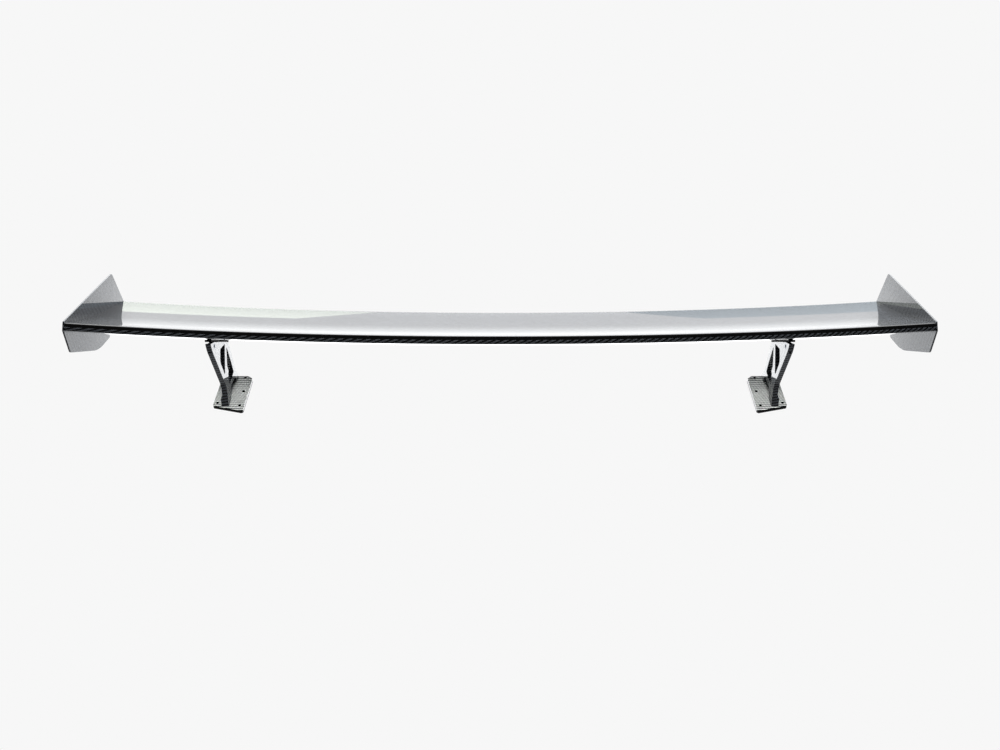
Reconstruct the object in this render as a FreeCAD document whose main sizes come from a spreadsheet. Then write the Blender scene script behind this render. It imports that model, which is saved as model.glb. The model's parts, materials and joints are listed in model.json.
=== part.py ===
import FreeCAD, Part
import math
import os
import re
import Sketcher
from FreeCAD import Rotation, Vector

# Racing rear wing: a hollow carbon aerofoil, bowed in plan, closed by two flat end plates and
# carried by two truss uprights. A saddle under the aerofoil turns on a pivot bolt in each upright
# and is locked by a screw in an arc slot, which sets the angle of attack.
# Frame: X across the car, +Y forward, +Z up. The origin is midway between the two feet, on the deck
# that they are bolted to. Right-hand pieces are modelled and the left-hand ones are their mirror.

doc = FreeCAD.newDocument("RearWing")
sizes = doc.addObject("Spreadsheet::Sheet", "Sizes")

# name, millimetres or degrees, meaning
DIMENSIONS = [
    ("span", 1600, "over the outer faces of the end plates"),
    ("chord", 298.5, "trailing edge to nose"),
    ("depth", 30, "upper edge line to the flat underside"),
    ("attack_angle", 9.9, "nose down from level, as set at rest"),
    ("bow_radius", 4470, "plan radius of the trailing edge"),
    ("tail_y", -158, "trailing edge on the centre line"),
    ("tail_z", 178.5, "upper trailing corner"),
    ("tail_height", 14.1, "blunt trailing face"),
    ("tail_lean", 2.4, "lower trailing corner behind the upper one"),
    ("tail_strip", 29, "flat strip in front of the upper trailing corner"),
    ("strip_drop", 1.9, "fall of the strip over its length"),
    ("tail_radius", 3, "rounding of both trailing corners"),
    ("dish_radius", 1577, "hollow curve of the upper surface"),
    ("nose_radius", 14.5, "leading edge"),
    ("flat_start", 110, "where the flat underside begins, from the tail"),
    ("skin", 2, "laminate of both skins"),
    ("filler_length", 18, "bonding filler inside the tail"),
    ("rear_spar_at", 60, "from the tail"),
    ("front_spar_at", 198, "from the tail"),
    ("spar_web", 5, "foam cored web"),
    ("tip_rib", 8, "closing rib behind each end plate"),
    ("mount_rib", 4, "ribs on both sides of a saddle"),
    ("rib_gap", 3, "saddle block to mount rib"),
    ("block_front", 140, "front edge of the front saddle block, from the tail"),
    ("block_rear", 21, "rear edge of the rear saddle block, from the tail"),
    ("block_rear_length", 24, "rear saddle block, fore and aft"),
    ("end_plate", 3, "end plate laminate"),
    ("end_screw_bore", 2.5, "radius of the M5 end plate screws"),
    ("end_screw_head", 4.75, "radius of the button heads"),
    ("end_head_height", 2.6, "button head above the plate"),
    ("end_insert_radius", 4.5, "threaded insert in the tip rib"),
    ("plate_x", 525, "inner face of an upright"),
    ("upright", 10, "upright laminate"),
    ("foot_width", 14, "upright thickness at its feet"),
    ("pivot_y", -93.2, "pivot bolt"),
    ("pivot_z", 135.6, "pivot bolt"),
    ("flange_slope", 20, "saddle flange, nose down from level"),
    ("flange_height", 7.7, "underside of the flange above the pivot"),
    ("flange_rear", 23.3, "flange behind the pivot"),
    ("flange_front", 93.7, "flange in front of the pivot"),
    ("flange_spare", 0.5, "flange beyond both faces of the upright"),
    ("flange", 4, "flange bar"),
    ("tab", 3, "web of the saddle, which stands in the slot of the upright"),
    ("slot_in", 3.7, "inner face of the upright to its slot"),
    ("slot_end_gap", 2, "slot of the upright beyond the ends of the web"),
    ("tab_rear", 9, "web behind the pivot"),
    ("tab_front", 33, "web in front of the pivot"),
    ("tab_drop", 19, "web below the flange"),
    ("tab_corner", 6, "rounding of the web"),
    ("side_gap", 0.3, "web of the saddle to both walls of the slot"),
    ("stop_gap", 0.3, "flange to the top of the upright at rest"),
    ("travel", 8, "range of the angle of attack"),
    ("travel_spare", 0.7, "further turn that the slot and the relief allow"),
    ("pivot_bore", 3, "radius of the M6 pivot bolt"),
    ("running_gap", 0.06, "pivot bolt to the web of the saddle, on the radius"),
    ("pivot_insert_radius", 5, "threaded pivot insert"),
    ("adjust_reach", 27, "locking screw in front of the pivot"),
    ("adjust_bore", 2.5, "radius of the M5 locking screw"),
    ("slot_gap", 0.25, "locking screw to slot, on the radius"),
    ("adjust_insert_radius", 4, "blind threaded insert of the locking screw"),
    ("adjust_insert_length", 3, "blind threaded insert of the locking screw"),
    ("bolt_head", 5, "radius of the pivot bolt head"),
    ("bolt_head_height", 2.8, "low head of the pivot bolt"),
    ("adjust_head", 4.4, "radius of the locking screw head"),
    ("adjust_head_height", 2.8, "low head of the locking screw"),
    ("washer", 1, "washer thickness"),
    ("washer_radius", 6, "washers of the pivot bolt"),
    ("adjust_washer_radius", 5.5, "washer of the locking screw"),
    ("socket_radius", 2.2, "hexagon socket of the heads, over its corners"),
    ("socket_depth", 1.8, "hexagon socket of the heads"),
    ("spacer", 4, "radius of the spacers between the flange and the aerofoil"),
    ("rear_spacer_at", 14, "rear saddle bolt behind the pivot"),
    ("front_spacer_at", 84, "front saddle bolt in front of the pivot"),
    ("saddle_bolt_bore", 2.5, "radius of the M5 saddle bolts"),
    ("saddle_bolt_gap", 0.25, "clearance of the saddle bolts, on the radius"),
    ("saddle_bolt_head", 4.6, "radius of the countersunk heads"),
    ("saddle_head_height", 2.3, "countersunk heads"),
    ("rear_bolt_reach", 17, "saddle bolt above the flange, at the back"),
    ("front_bolt_reach", 28, "saddle bolt above the flange, at the front"),
    ("block_width", 32, "saddle blocks inside the aerofoil, across the car"),
    ("deck_slope", 17, "deck, rising to the front"),
    ("gasket", 2, "rubber gasket under a foot"),
    ("base", 5, "base plate laminate"),
    ("base_inner", 496, "inner edge of the base plate"),
    ("base_outer", 557, "outer edge of the base plate"),
    ("base_corner", 4, "rounding of the base plate"),
    ("deck_bolt", 2.75, "radius of the deck bolt holes"),
    ("inner_hole_x", 506, "inner hole row at its middle"),
    ("inner_hole_skew", 5, "front and rear holes of the row to the sides of the middle one"),
    ("outer_hole_x", 549.5, "outer holes"),
    ("inner_pitch", 42.5, "inner holes, along the slope"),
    ("outer_reach", 34, "outer holes in front of and behind the middle"),
    ("foot_boss", 15, "height of the thick feet"),
    ("foot_screw_bore", 3, "radius of the M6 foot screws"),
    ("foot_screw_head", 5.8, "radius of the countersunk heads"),
    ("foot_head_height", 3, "countersunk heads"),
    ("foot_insert_radius", 4.5, "threaded insert in a foot"),
    ("foot_insert_length", 13, "threaded insert in a foot"),
    ("rear_foot_at", -35, "rear foot screw, along the slope"),
    ("front_foot_at", 38, "front foot screw, along the slope"),
]
row = 1
for alias, value, meaning in DIMENSIONS:
    sizes.set("A%d" % row, alias)
    sizes.set("B%d" % row, str(value))
    sizes.set("C%d" % row, meaning)
    sizes.setAlias("B%d" % row, alias)
    row += 1
known = {alias for alias, value, meaning in DIMENSIONS}
doc.recompute()


def bound(text):
    """The expression with every sheet value written as a reference to its cell."""
    return re.sub(r"[a-z]+(?:_[a-z0-9]+)*",
                  lambda word: "Sizes." + word.group(0) if word.group(0) in known else word.group(0),
                  str(text))


def val(text):
    """The number that an expression of sheet values gives now."""
    return float(sizes.evalExpression(bound(text)))


def rooted(u, v, angle, y="0", z="0"):
    """A point given along and above a line that rises forward by angle from the point y, z."""
    return ("(%s) + (%s) * cos(%s) - (%s) * sin(%s)" % (y, u, angle, v, angle),
            "(%s) + (%s) * sin(%s) + (%s) * cos(%s)" % (z, u, angle, v, angle))


def saddle_point(u, v):
    return rooted(u, v, "-flange_slope", "pivot_y", "pivot_z")


def deck_point(u, v):
    return rooted(u, v, "deck_slope")


def tip_point(u, v):
    """A point given from the upper trailing corner where the aerofoil meets the end plate."""
    return rooted(u, v, "-attack_angle", TIP_TAIL, "tail_z")


# the tip stands in front of the middle of the trailing edge by the sagitta of the bow
TIP_TAIL = "tail_y + bow_radius - sqrt(bow_radius ^ 2 - (span / 2 - end_plate) ^ 2)"


def plane_of(body, role):
    return [item for item in body.Origin.OriginFeatures if item.Role == role][0]


def new_body(label):
    body = doc.addObject("PartDesign::Body", label)
    body.Label = label
    return body


def new_sketch(body, name, role):
    sketch = body.newObject("Sketcher::SketchObject", name)
    sketch.AttachmentSupport = [(plane_of(body, role), "")]
    sketch.MapMode = "FlatFace"
    return sketch


def tie_point(sketch, geo, pos, x, y):
    """Binds a sketch point to two expressions."""
    for kind, text in (("DistanceX", x), ("DistanceY", y)):
        index = sketch.addConstraint(Sketcher.Constraint(kind, -1, 1, geo, pos, val(text)))
        sketch.setExpression("Constraints[%d]" % index, bound(text))


def outline(sketch, corners):
    """A closed outline of straight sides. A corner is x, y and its radius, all expressions."""
    points = [Vector(val(x), val(y), 0) for x, y, radius in corners]
    count = len(corners)
    ends = []
    for i in range(count):
        here, radius = points[i], val(corners[i][2])
        back = (points[i - 1] - here).normalize()
        ahead = (points[(i + 1) % count] - here).normalize()
        half = back.getAngle(ahead) / 2
        reach = radius / math.tan(half) if radius else 0
        middle = here + (back + ahead).normalize() * (radius / math.sin(half) - radius) if radius else here
        ends.append((here + back * reach, middle, here + ahead * reach, back.cross(ahead).z < 0))
    sides = [sketch.addGeometry(Part.LineSegment(ends[i][2], ends[(i + 1) % count][0]))
             for i in range(count)]
    for i in range(count):
        x, y, radius = corners[i]
        before, after = sides[i - 1], sides[i]
        if not val(radius):
            sketch.addConstraint(Sketcher.Constraint("Coincident", before, 2, after, 1))
            tie_point(sketch, after, 1, x, y)
            continue
        arc = sketch.addGeometry(Part.Arc(ends[i][0], ends[i][1], ends[i][2]))
        first, last = (1, 2) if ends[i][3] else (2, 1)
        corner = sketch.addGeometry(Part.Point(points[i]), True)
        sketch.addConstraint([Sketcher.Constraint("PointOnObject", corner, 1, before),
                              Sketcher.Constraint("PointOnObject", corner, 1, after),
                              Sketcher.Constraint("Tangent", before, 2, arc, first),
                              Sketcher.Constraint("Tangent", after, 1, arc, last)])
        index = sketch.addConstraint(Sketcher.Constraint("Radius", arc, val(radius)))
        sketch.setExpression("Constraints[%d]" % index, bound(radius))
        tie_point(sketch, corner, 1, x, y)


def ring(sketch, x, y, radius):
    """A circle bound to its centre and radius."""
    circle = sketch.addGeometry(Part.Circle(Vector(val(x), val(y), 0), Vector(0, 0, 1), val(radius)))
    index = sketch.addConstraint(Sketcher.Constraint("Radius", circle, val(radius)))
    sketch.setExpression("Constraints[%d]" % index, bound(radius))
    tie_point(sketch, circle, 3, x, y)


def pad(body, name, sketch, length):
    feature = body.newObject("PartDesign::Pad", name)
    feature.Profile = sketch
    feature.setExpression("Length", bound(length))
    body.Tip = feature
    return feature


def shift_x(item, x):
    item.setExpression("Placement.Base.x", bound(x))


def plate(label, x, thick, corners, holes=()):
    """A flat plate across X: its outline and holes lie in Y and Z, and it starts at x."""
    body = new_body(label)
    sketch = new_sketch(body, label + "_outline", "YZ_Plane")
    outline(sketch, corners)
    for y, z, radius in holes:
        ring(sketch, y, z, radius)
    pad(body, label + "_pad", sketch, thick)
    shift_x(body, x)
    return body


def place(item, x, point, angle):
    """Puts an object at x and a Y, Z point, turned about X by angle."""
    y, z = point
    shift_x(item, x)
    item.setExpression("Placement.Base.y", bound(y))
    item.setExpression("Placement.Base.z", bound(z))
    item.setExpression("Placement.Rotation.Axis.x", "1")
    item.setExpression("Placement.Rotation.Axis.z", "0")
    item.setExpression("Placement.Rotation.Angle", bound(angle))


def box(name, length, width, height):
    item = doc.addObject("Part::Box", name)
    for side, text in (("Length", length), ("Width", width), ("Height", height)):
        item.setExpression(side, bound(text))
    return item


def rod(name, radius, height):
    item = doc.addObject("Part::Cylinder", name)
    item.setExpression("Radius", bound(radius))
    item.setExpression("Height", bound(height))
    return item


def along_x(item, x, point):
    """Lays a cylinder, cone or prism with its axis along +X, from x and a Y, Z point."""
    y, z = point
    shift_x(item, x)
    item.setExpression("Placement.Base.y", bound(y))
    item.setExpression("Placement.Base.z", bound(z))
    item.Placement.Rotation = Rotation(Vector(0, 1, 0), 90)


def fused(label, *items):
    item = doc.addObject("Part::MultiFuse", label)
    item.Shapes = list(items)
    item.Label = label
    return item


def cut(label, base, tool):
    item = doc.addObject("Part::Cut", label)
    item.Base, item.Tool = base, tool
    item.Label = label
    return item


def common(label, base, tool):
    item = doc.addObject("Part::Common", label)
    item.Base, item.Tool = base, tool
    item.Label = label
    return item


def grouped(label, *items):
    """Separate solids that share one node."""
    item = doc.addObject("Part::Compound", label)
    item.Links = list(items)
    item.Label = label
    return item


# --- aerofoil: one section turned about the upright axis of the bow ---------------------------

def section_point(u, v):
    """A point of the section as radius from the bow axis and height. u runs from tail to nose."""
    angle = math.radians(val("attack_angle"))
    y = u * math.cos(angle) + v * math.sin(angle)
    z = -u * math.sin(angle) + v * math.cos(angle)
    return Vector(y - val("bow_radius"), z + val("tail_z"), 0)


def section_edges():
    """The section: tail face, flat strip, hollow top, round nose, flat underside, rear curve."""
    chord, depth, nose = val("chord"), val("depth"), val("nose_radius")
    dish, strip, drop = val("dish_radius"), val("tail_strip"), val("strip_drop")
    flat, lean, tail = val("flat_start"), val("tail_lean"), val("tail_height")
    nose_u, nose_v = chord - nose, nose - depth
    # centre of the hollow curve: dish from the strip's end, dish + nose from the nose's centre
    gap_u, gap_v = nose_u - strip, nose_v + drop
    gap = math.hypot(gap_u, gap_v)
    near = (dish ** 2 - (dish + nose) ** 2 + gap ** 2) / (2 * gap)
    high = math.sqrt(dish ** 2 - near ** 2)
    dish_u = strip + near * gap_u / gap - high * gap_v / gap
    dish_v = -drop + near * gap_v / gap + high * gap_u / gap
    share = nose / (dish + nose)
    touch = (nose_u + (dish_u - nose_u) * share, nose_v + (dish_v - nose_v) * share)
    mid = (strip + touch[0]) / 2
    # the rear curve leaves the flat underside level and ends at the lower trailing corner
    rise, run = depth - tail, flat + lean
    curve = (run ** 2 + rise ** 2) / (2 * rise)
    half = math.asin(run / curve) / 2
    at = lambda u, v: section_point(u, v)
    return [Part.LineSegment(at(-lean, -tail), at(0, 0)).toShape(),
            Part.LineSegment(at(0, 0), at(strip, -drop)).toShape(),
            Part.Arc(at(strip, -drop),
                     at(mid, dish_v - math.sqrt(dish ** 2 - (mid - dish_u) ** 2)),
                     at(*touch)).toShape(),
            Part.Arc(at(*touch), at(chord, nose_v), at(nose_u, -depth)).toShape(),
            Part.LineSegment(at(nose_u, -depth), at(flat, -depth)).toShape(),
            Part.Arc(at(flat, -depth),
                     at(flat - curve * math.sin(half), -depth + curve * (1 - math.cos(half))),
                     at(-lean, -tail)).toShape()]


def edge_geometry(edge):
    first, last = edge.FirstParameter, edge.LastParameter
    start, middle, end = edge.valueAt(first), edge.valueAt((first + last) / 2), edge.valueAt(last)
    if isinstance(edge.Curve, Part.Circle):
        return Part.Arc(start, middle, end)
    return Part.LineSegment(start, end)


def turned(label, edges):
    """A body made by turning a closed section through the bow's angle about its upright axis."""
    body = new_body(label)
    sketch = new_sketch(body, label + "_section", "YZ_Plane")
    for edge in edges:
        sketch.addGeometry(edge_geometry(edge))
    feature = body.newObject("PartDesign::Revolution", label + "_turn")
    feature.Profile = sketch
    feature.ReferenceAxis = (sketch, ["V_Axis"])
    feature.Midplane = True
    feature.setExpression("Angle", bound("2 * asin((span / 2 + chord / 10) / (bow_radius - chord))"))
    body.Tip = feature
    body.setExpression("Placement.Base.y", bound("tail_y + bow_radius"))
    return body


def corner_round(edges, radius):
    """Rounds the two trailing corners of the section with arcs tangent to their sides."""
    wire = Part.Wire(edges)
    face = Part.Face(wire)
    block = face.extrude(Vector(0, 0, 1))
    tails = [section_point(0, 0), section_point(-val("tail_lean"), -val("tail_height"))]
    posts = [edge for edge in block.Edges if len(edge.Vertexes) == 2
             and abs(edge.Vertexes[0].Z - edge.Vertexes[1].Z) > 0.5
             and min((Vector(edge.Vertexes[0].X, edge.Vertexes[0].Y, 0) - t).Length
                     for t in tails) < 1e-4]
    rounded = block.makeFillet(radius, posts)
    floor = [item for item in rounded.Faces if item.BoundBox.ZMax < 1e-6][0]
    return floor.OuterWire


outer_wire = corner_round(section_edges(), val("tail_radius"))
inner_wire = outer_wire.makeOffset2D(-val("skin"))
far = val("chord") + 60
seam_u, seam_v = val("chord"), val("nose_radius") - val("depth")
tail_v = -val("tail_height") / 2
zone_points = [section_point(-60, tail_v), section_point(seam_u, seam_v), section_point(far, seam_v),
               section_point(far, 60), section_point(-60, 60)]
zone_edges = [Part.LineSegment(zone_points[i], zone_points[(i + 1) % 5]).toShape() for i in range(5)]

wing_form = turned("wing_form", outer_wire.Edges)
wing_hollow = turned("wing_hollow", inner_wire.Edges)
upper_zone = turned("upper_zone", zone_edges)


def bay_box(name, start, length, x_from, x_to):
    """An upright box across the section: start and length along the chord, and its X range."""
    item = box(name, "(%s) - (%s)" % (x_to, x_from), length, "depth * 4")
    mid = "((%s) + (%s)) / 2" % (x_from, x_to)
    tail = "tail_y + bow_radius - sqrt(bow_radius ^ 2 - (%s) ^ 2)" % mid
    place(item, x_from, rooted(start, "-depth * 2.5", "-attack_angle", tail, "tail_z"), "-attack_angle")
    return item


def bowed_band(name, start, length):
    """A band of the section along the whole span, between two distances from the tail."""
    near, ahead = val(start), val(start) + val(length)
    top, low = val("depth"), -2 * val("depth")
    points = [section_point(near, low), section_point(ahead, low),
              section_point(ahead, top), section_point(near, top)]
    return turned(name, [Part.LineSegment(points[i], points[(i + 1) % 4]).toShape() for i in range(4)])


INSIDE = "(span / 2 - end_plate)"
CORE = "(span / 2 - end_plate - tip_rib)"
span_box = box("span_box", "2 * " + INSIDE, "chord * 3", "chord * 2")
place(span_box, "-" + INSIDE, ("tail_y - chord", "tail_z - chord"), "0")
core_box = box("core_box", "2 * " + CORE, "chord * 3", "chord * 2")
place(core_box, "-" + CORE, ("tail_y - chord", "tail_z - chord"), "0")

shell = cut("wing_shell", wing_form, wing_hollow)
shell_cut = common("wing_shell_cut", shell, span_box)
wing_upper_skin = common("wing_upper_skin", shell_cut, upper_zone)

core = common("wing_core", wing_hollow, core_box)
trailing_edge_filler = common("trailing_edge_filler", core,
                              bowed_band("filler_band", "-10", "filler_length + 10"))
rear_spar = common("rear_spar", core, bowed_band("rear_band", "rear_spar_at", "spar_web"))
front_spar = common("front_spar", core, bowed_band("front_band", "front_spar_at", "spar_web"))


# --- saddle bolts, their blocks and the ribs beside them ---------------------------------------
MIDDLE = "plate_x + upright / 2"
FLANGE_IN, FLANGE_OUT = "plate_x - flange_spare", "plate_x + upright + flange_spare"


def saddle_rod(name, radius, along, height):
    """A cylinder square to the saddle flange, starting at the flange's underside."""
    item = rod(name, radius, height)
    place(item, MIDDLE, saddle_point(along, "flange_height"), "-flange_slope")
    return item


def cone(name, first, last, height):
    item = doc.addObject("Part::Cone", name)
    item.setExpression("Radius1", bound(first))
    item.setExpression("Radius2", bound(last))
    item.setExpression("Height", bound(height))
    return item


def hexagon(name, radius="socket_radius"):
    """The tool for a hexagon socket."""
    item = doc.addObject("Part::Prism", name)
    item.Polygon = 6
    item.setExpression("Circumradius", bound(radius))
    item.setExpression("Height", bound("socket_depth"))
    return item


bolts, hole_rods, thread_rods = [], [], []
for name, along, reach in (("rear", "-rear_spacer_at", "rear_bolt_reach"),
                           ("front", "front_spacer_at", "front_bolt_reach")):
    long = "(%s) + flange" % reach
    shank = saddle_rod(name + "_shank", "saddle_bolt_bore", along, long)
    head = cone(name + "_head", "saddle_bolt_head", "saddle_bolt_bore", "saddle_head_height")
    place(head, MIDDLE, saddle_point(along, "flange_height"), "-flange_slope")
    socket = hexagon(name + "_socket")
    place(socket, MIDDLE, saddle_point(along, "flange_height"), "-flange_slope")
    bolts.append(cut(name + "_saddle_bolt", fused(name + "_blank", shank, head), socket))
    hole_rods += [saddle_rod(name + "_clear", "saddle_bolt_bore + saddle_bolt_gap", along, long), head]
    thread_rods.append(shank)
saddle_bolts_right = grouped("saddle_bolts_right", *bolts)
bolt_holes = fused("bolt_holes", *hole_rods)
bolt_threads = fused("bolt_threads", *thread_rods)


def mirrored(item, label):
    copy = doc.addObject("Part::Mirroring", label)
    copy.Source = item
    copy.Normal = Vector(1, 0, 0)
    copy.Label = label
    return copy


both_holes = fused("both_bolt_holes", bolt_holes, mirrored(bolt_holes, "bolt_holes_left"))
lower_shell = cut("lower_shell", shell_cut, upper_zone)
wing_lower_skin = cut("wing_lower_skin", lower_shell, both_holes)

BLOCK_IN, BLOCK_OUT = MIDDLE + " - block_width / 2", MIDDLE + " + block_width / 2"
# the spar is bowed and the block is square, so the block's inner rear corner comes nearest
SPAR_FACE = "rear_spar_at + spar_web + 0.5 + block_width * (plate_x + block_width) / bow_radius / 2"
front_bay = bay_box("front_block_bay", SPAR_FACE, "block_front - (%s)" % SPAR_FACE, BLOCK_IN, BLOCK_OUT)
front_hardpoint_right = cut("front_hardpoint_right",
                            common("front_block", wing_hollow, front_bay), bolt_threads)
rear_bay = bay_box("rear_block_bay", "block_rear", "block_rear_length", BLOCK_IN, BLOCK_OUT)
rear_hardpoint_right = cut("rear_hardpoint_right",
                           common("rear_block", wing_hollow, rear_bay), bolt_threads)
main_bay = bowed_band("main_band", "rear_spar_at + spar_web", "front_spar_at - rear_spar_at - spar_web")
main_core = common("main_core", wing_hollow, main_bay)
ribs = []
for name, x in (("inner", BLOCK_IN + " - rib_gap - mount_rib"), ("outer", BLOCK_OUT + " + rib_gap")):
    slab = box(name + "_rib_slab", "mount_rib", "chord * 3", "chord * 2")
    place(slab, x, ("tail_y - chord", "tail_z - chord"), "0")
    ribs.append(common("mount_rib_%s_right" % name, main_core, slab))

# --- closing rib, end plate, and its screws -----------------------------------------------------
tip_slab = box("tip_slab", "tip_rib", "chord * 3", "chord * 2")
place(tip_slab, CORE, ("tail_y - chord", "tail_z - chord"), "0")
tip_block = common("tip_block", wing_hollow, tip_slab)

END_SCREWS = [("68", "-13"), ("150", "-17"), ("250", "-15")]
inserts, screws, insert_rods = [], [], []
for number, (u, v) in enumerate(END_SCREWS):
    point = tip_point(u, v)
    name = "end_%d_" % number
    sleeve = rod(name + "sleeve", "end_insert_radius", "tip_rib")
    along_x(sleeve, CORE, point)
    insert_rods.append(sleeve)
    shank = rod(name + "shank", "end_screw_bore", "tip_rib + end_plate")
    along_x(shank, CORE, point)
    inserts.append(cut(name + "insert", sleeve, shank))
    head = cone(name + "head", "end_screw_head", "end_screw_head * 0.6", "end_head_height")
    along_x(head, "span / 2", point)
    socket = hexagon(name + "socket", "socket_radius * 0.8")
    along_x(socket, "span / 2 + end_head_height - socket_depth * 0.75", point)
    screws.append(cut(name + "screw", fused(name + "blank", shank, head), socket))
end_plate_inserts_right = grouped("end_plate_inserts_right", *inserts)
end_plate_screws_right = grouped("end_plate_screws_right", *screws)
tip_rib_right = cut("tip_rib_right", tip_block, fused("insert_bores", *insert_rods))

# outline from the upper trailing corner, along and square to the chord
END_PLATE = [
    ("-4.5", "-tail_height", "3"),               # lower trailing corner
    ("1", "2.5", "2"),                           # upper trailing corner
    ("chord * 0.805", "64.5", "9"),              # top corner
    ("chord + 6.5", "-16", "12"),                 # ahead of the nose
    ("chord - 8", "-depth - 8", "14"),           # under the nose
    ("chord * 0.535", "-depth - 10", "3"),       # notch in front of the fin
    ("chord * 0.716", "-depth - 29.5", "4"),     # front of the fin
    ("chord * 0.478", "-depth - 48", "120"),     # belly of the fin
    ("16.5", "-depth - 28.5", "9"),              # back of the fin
]
plate_corners = [tip_point(u, v) + (radius,) for u, v, radius in END_PLATE]
plate_holes = [tip_point(u, v) + ("end_screw_bore",) for u, v in END_SCREWS]
end_plate_right = plate("end_plate_right", INSIDE, "end_plate", plate_corners, plate_holes)

# --- saddle: flange and web, and the spacers between it and the aerofoil ------------------------
flange_corners = [saddle_point("-flange_rear", "flange_height") + ("0",),
                  saddle_point("-flange_rear", "flange_height + flange") + ("0",),
                  saddle_point("flange_front", "flange_height + flange") + ("0",),
                  saddle_point("flange_front", "flange_height") + ("0",)]
flange_blank = plate("flange_blank", FLANGE_IN, "upright + 2 * flange_spare", flange_corners)
TAB_X = "plate_x + slot_in + side_gap"
tab_corners = [saddle_point("-tab_rear", "flange_height - tab_drop") + ("tab_corner",),
               saddle_point("-tab_rear", "flange_height") + ("0",),
               saddle_point("tab_front", "flange_height") + ("0",),
               saddle_point("tab_front", "flange_height - tab_drop") + ("tab_corner",)]
tab_blank = plate("tab_blank", TAB_X, "tab", tab_corners,
                  [("pivot_y", "pivot_z", "pivot_bore + running_gap")])


def slot_body():
    """The arc slot about the pivot, as wide as the locking screw and as long as the travel."""
    body = new_body("adjust_slot")
    sketch = new_sketch(body, "adjust_slot_outline", "YZ_Plane")
    wide = val("adjust_bore + slot_gap")
    centre = Vector(val("pivot_y"), val("pivot_z"), 0)
    top = -val("flange_slope") + val("travel_spare")
    low = -val("flange_slope") - val("travel") - val("travel_spare")
    at = lambda reach, angle: centre + Vector(reach * math.cos(math.radians(angle)),
                                              reach * math.sin(math.radians(angle)), 0)
    reach, mid = val("adjust_reach"), (top + low) / 2
    cap = math.degrees(wide / reach)
    sketch.addGeometry([Part.Arc(at(reach + wide, low), at(reach + wide, mid), at(reach + wide, top)),
                        Part.Arc(at(reach + wide, top), at(reach, top + cap), at(reach - wide, top)),
                        Part.Arc(at(reach - wide, top), at(reach - wide, mid), at(reach - wide, low)),
                        Part.Arc(at(reach - wide, low), at(reach, low - cap), at(reach + wide, low))])
    pad(body, "adjust_slot_pad", sketch, "tab * 3")
    shift_x(body, TAB_X + " - tab")
    return body


saddle_blank = fused("saddle_blank", flange_blank, tab_blank)
saddle_slotted = cut("saddle_slotted", saddle_blank, slot_body())
saddle_bracket_right = cut("saddle_bracket_right", saddle_slotted, bolt_holes)

spacers = []
for name, along, high in (("rear", "-rear_spacer_at", "tail_height"), ("front", "front_spacer_at", "depth")):
    column = saddle_rod(name + "_column", "spacer", along, "flange + %s" % high)
    drilled = cut(name + "_column_drilled", column, bolt_holes)
    above = cut(name + "_column_above", drilled, flange_blank)
    spacers.append(cut("saddle_%s_spacer_right" % name, above, wing_form))

# --- upright: a truss plate with thick feet ------------------------------------------------------
FOOT = "gasket + base"
TOP = "flange_height - stop_gap"
RELIEF = "flange_height - stop_gap - flange_rear * tan(travel + travel_spare)"
EDGE = [
    saddle_point("-flange_rear", RELIEF) + ("1.5",),      # rear top
    saddle_point("0", TOP) + ("0",),                      # crest over the pivot
    saddle_point("flange_front", TOP) + ("3",),           # front top
    deck_point("37", "29") + ("14",),                     # ankle of the front leg
    deck_point("47", "12") + ("3",),                      # toe
    deck_point("47", FOOT) + ("0",),
    deck_point("27", FOOT) + ("0",),
    deck_point("27.5", "24") + ("6",),                    # front of the arch
    deck_point("-16.5", "27") + ("7",),                   # back of the arch
    deck_point("-24", FOOT) + ("0",),
    deck_point("-46", FOOT) + ("0",),
    deck_point("-34", "47") + ("40",),                    # knee of the rear leg
    saddle_point("-12.5", "-9.5") + ("45",),              # neck under the pivot
]
OPENINGS = [
    [saddle_point("38", "-5.5") + ("3",), saddle_point("68.5", "4.2") + ("1.5",),
     deck_point("-28", "70") + ("3",), saddle_point("37", "-30") + ("14",)],
    [saddle_point("79", "0") + ("2",), deck_point("21", "66") + ("30",),
     deck_point("24", "38") + ("3.5",), deck_point("-15", "37") + ("3",),
     deck_point("-5", "78") + ("40",)],
]
truss = new_body("truss")
truss_sketch = new_sketch(truss, "truss_outline", "YZ_Plane")
outline(truss_sketch, EDGE)
for opening in OPENINGS:
    outline(truss_sketch, opening)
pad(truss, "truss_pad", truss_sketch, "upright")
shift_x(truss, "plate_x")

feet = []
for name, heel, toe, slant in (("rear", "-46", "-24", "0.3"), ("front", "27", "47", "0")):
    high = FOOT + " + foot_boss" if name == "rear" else FOOT + " + foot_boss * 0.33"
    corners = [deck_point(heel, FOOT) + ("0",),
               deck_point("(%s) + foot_boss * %s" % (heel, slant), high) + ("0",),
               deck_point("(%s) + foot_boss * %s" % (toe, slant), high) + ("0",),
               deck_point(toe, FOOT) + ("0",)]
    feet.append(plate(name + "_foot", "plate_x + upright", "foot_width - upright", corners))
web_slot = box("web_slot", "tab + 2 * side_gap", "tab_rear + tab_front + 2 * slot_end_gap",
               "tab_drop + slot_end_gap")
place(web_slot, "plate_x + slot_in",
      saddle_point("-tab_rear - slot_end_gap", "flange_height - tab_drop - slot_end_gap"), "-flange_slope")
upright_blank = cut("upright_blank", fused("upright_solid", truss, *feet), web_slot)


def bolt_set(name, x_head, point, parts):
    """Cylinders along X, each a radius with its start and end in X, fused into one bolt."""
    made = []
    for number, (radius, start, end) in enumerate(parts):
        item = rod("%s_%d" % (name, number), radius, "(%s) - (%s)" % (end, start))
        along_x(item, start, point)
        made.append(item)
    socket = hexagon(name + "_socket")
    along_x(socket, "(%s) - socket_depth" % x_head, point)
    return cut(name + "_right", fused(name + "_blank", *made), socket), made[0]


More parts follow.
